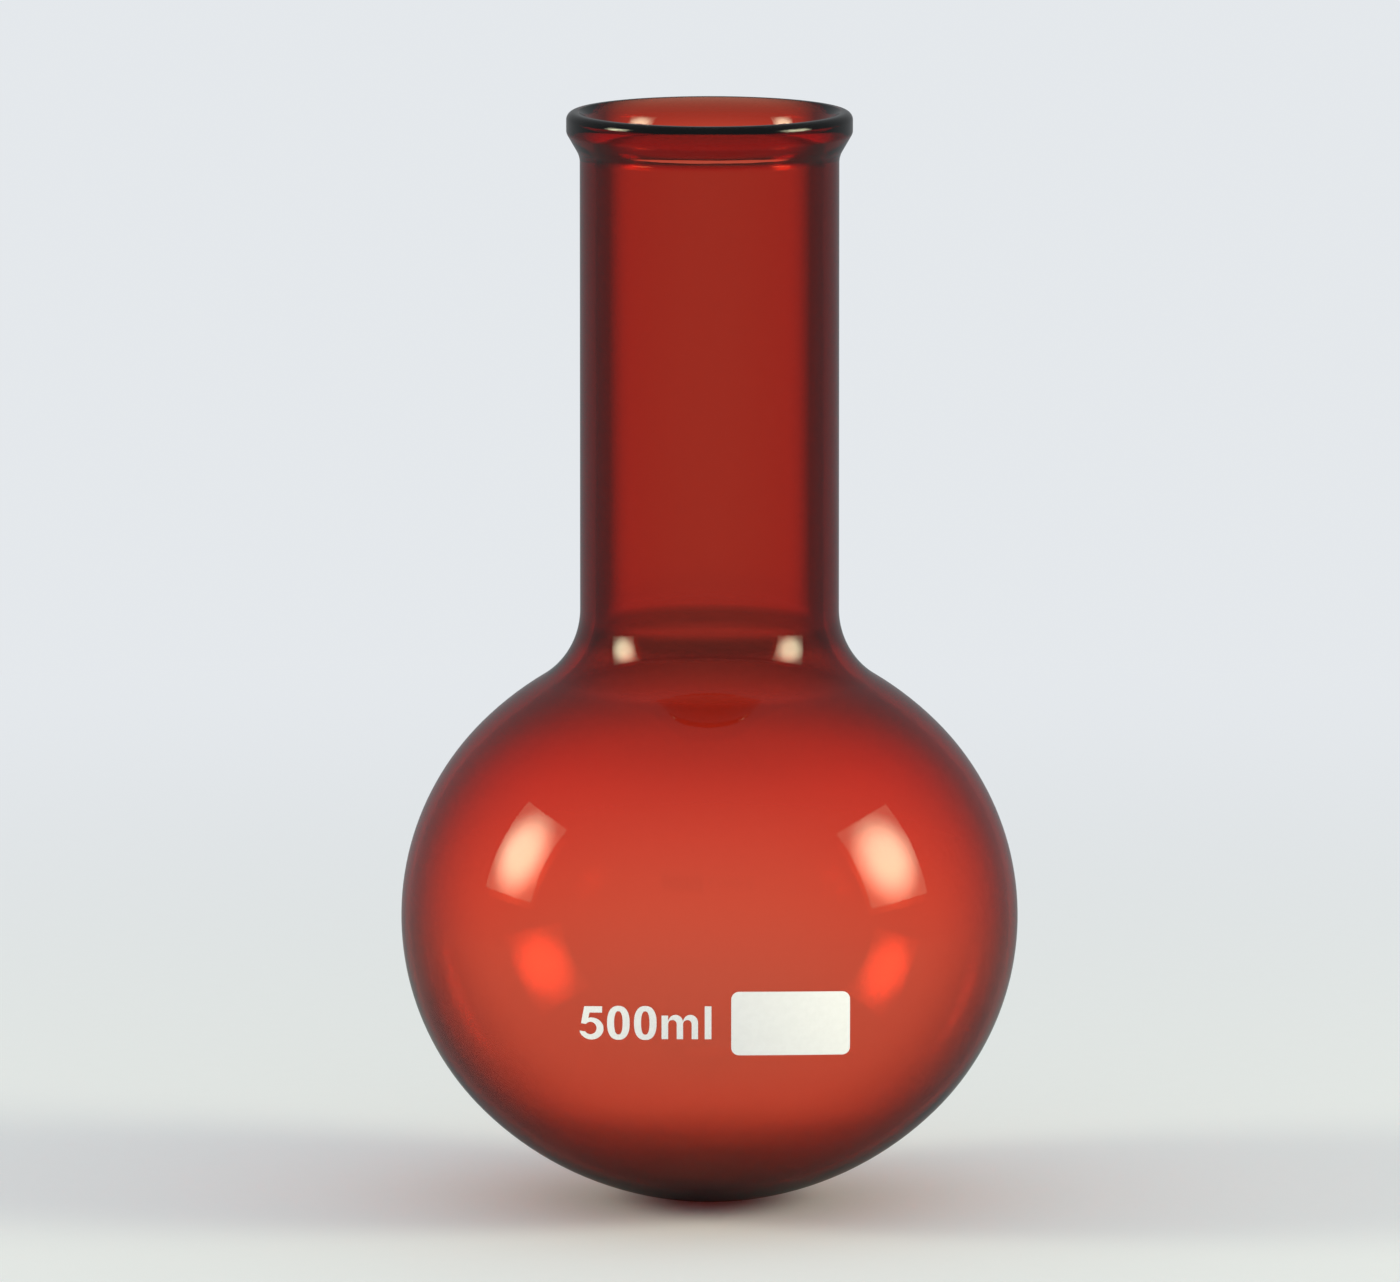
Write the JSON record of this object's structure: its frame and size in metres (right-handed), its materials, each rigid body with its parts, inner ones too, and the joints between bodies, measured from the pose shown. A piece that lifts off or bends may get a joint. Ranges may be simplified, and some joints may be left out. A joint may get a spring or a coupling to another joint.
{
  "type": "round-bottom flask",
  "caption": "Red-amber glass round-bottom flask with a straight wide neck and a thick rolled lip, for holding, mixing and heating liquids.",
  "frame": {"origin": "the lowest point of the bulb, on the axis of the flask", "axes": "+Z along the axis of the flask, from the bulb to the mouth; the print on the bulb faces -Y"},
  "size_m": [0.105, 0.105, 0.1865],
  "materials": {
    "amber_glass": "clear red-amber borosilicate glass, blown, with a fire-polished lip",
    "white_enamel": "thin white enamel, fired onto the outside of the bulb"
  },
  "bodies": {
    "root": {"flask": "amber_glass"}
  },
  "joints": []
}
